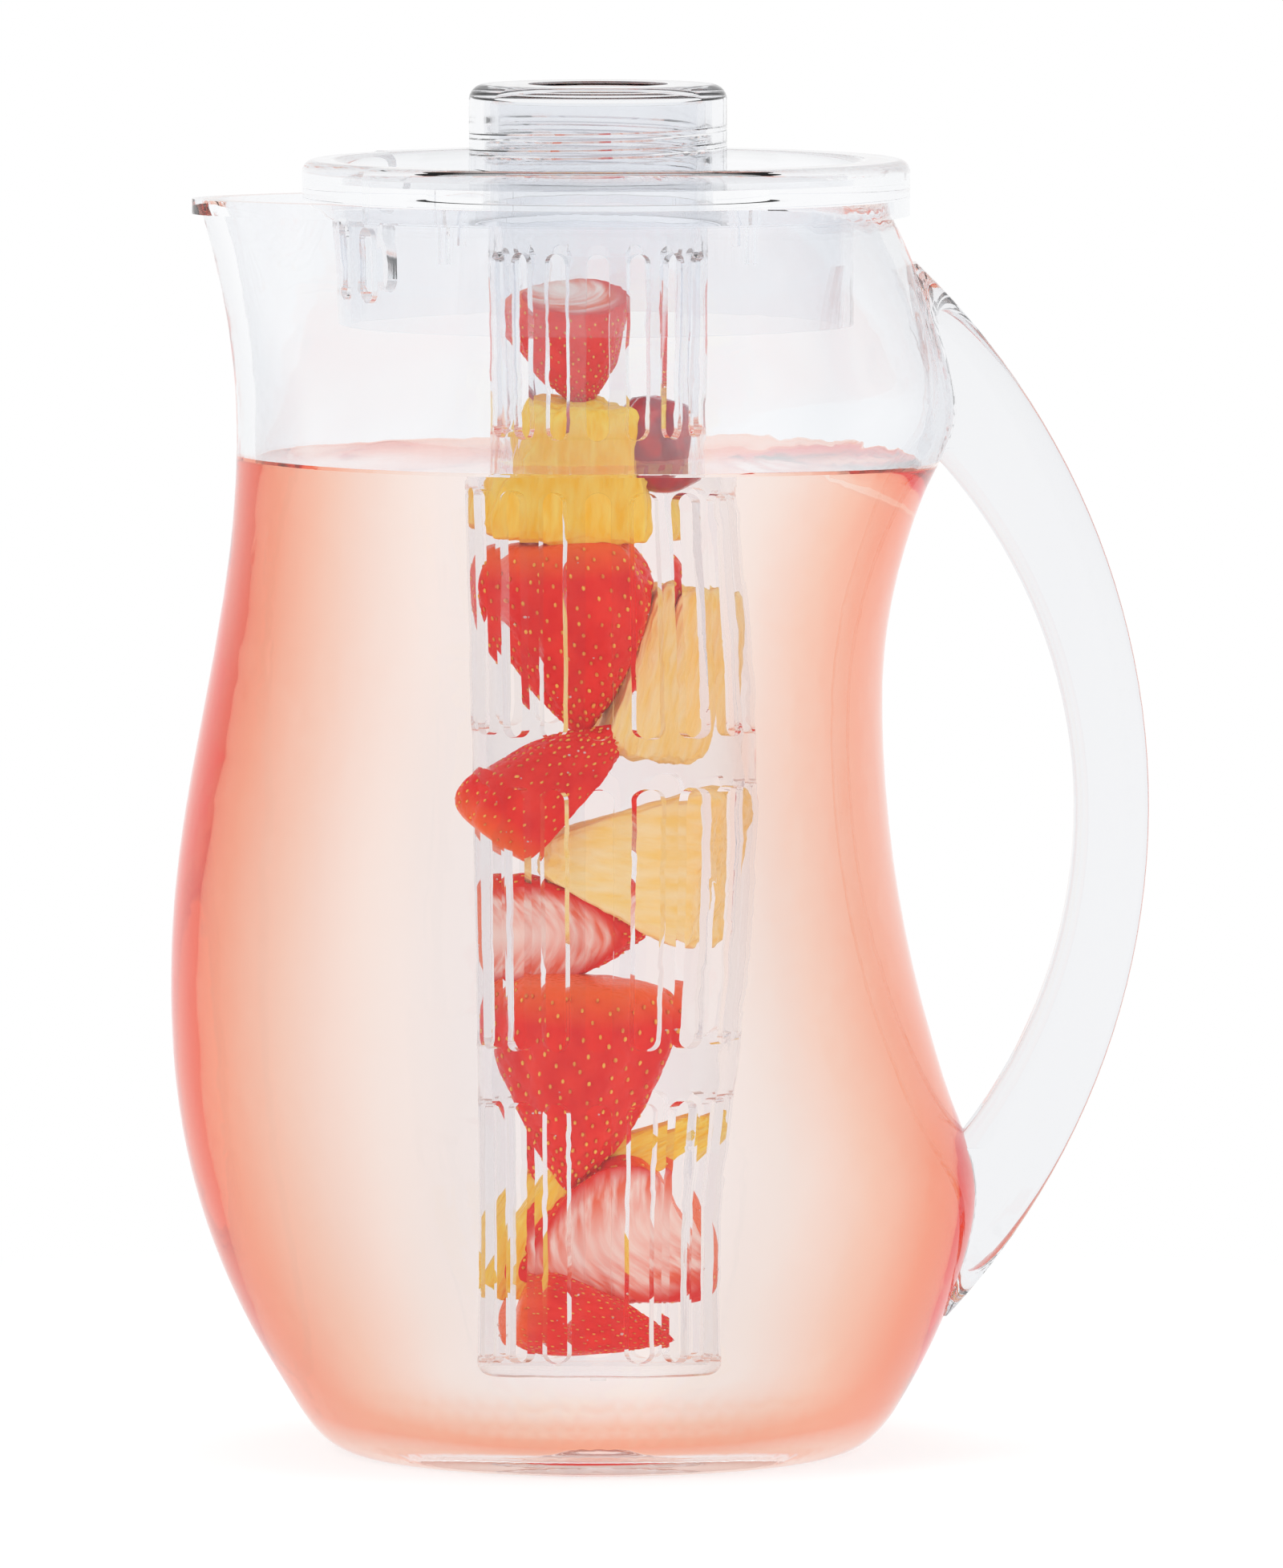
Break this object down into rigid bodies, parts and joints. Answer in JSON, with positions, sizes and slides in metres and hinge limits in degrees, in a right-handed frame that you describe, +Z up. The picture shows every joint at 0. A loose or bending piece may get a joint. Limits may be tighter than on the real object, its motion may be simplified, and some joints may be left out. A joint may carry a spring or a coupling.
{
  "type": "fruit infuser pitcher",
  "caption": "Clear acrylic pitcher with a beaked spout, bow handle, lift-off slotted lid and a screwed-in infuser tube that holds fruit in the drink.",
  "frame": {"origin": "on the mouth's vertical axis, on the plane that the foot stands on", "axes": "+Z up along the mouth's axis, spout towards -X, handle towards +X"},
  "size_m": [0.1894, 0.142, 0.2645],
  "materials": {
    "pitcher_body": "clear polished acrylic",
    "handle": "clear polished acrylic",
    "lid": "clear polished acrylic",
    "infuser_rod": "clear polished acrylic",
    "knob": "clear polished acrylic"
  },
  "bodies": {
    "pitcher": {"pitcher_body": "pitcher_body", "handle": "handle"},
    "lid": {"lid": "lid"},
    "knob": {"knob": "knob"},
    "infuser": {"infuser_rod": "infuser_rod"}
  },
  "joints": [
    {"name": "lid_lift", "type": "slide", "parent": "pitcher", "child": "lid", "axis": [0, 0, 1], "range_m": [0, 0.23]},
    {"name": "knob_turn", "type": "hinge", "parent": "lid", "child": "knob", "pos_m": [0, 0, 0.25], "axis": [0, 0, 1], "range_deg": [0, 900]},
    {"name": "infuser_drop", "type": "slide", "parent": "lid", "child": "infuser", "axis": [0, 0, 1], "range_m": [-0.00776, 0]}
  ],
  "couplings": [
    {"joint": "infuser_drop", "follows": "knob_turn", "m_per_rad": -0.00049338}
  ]
}
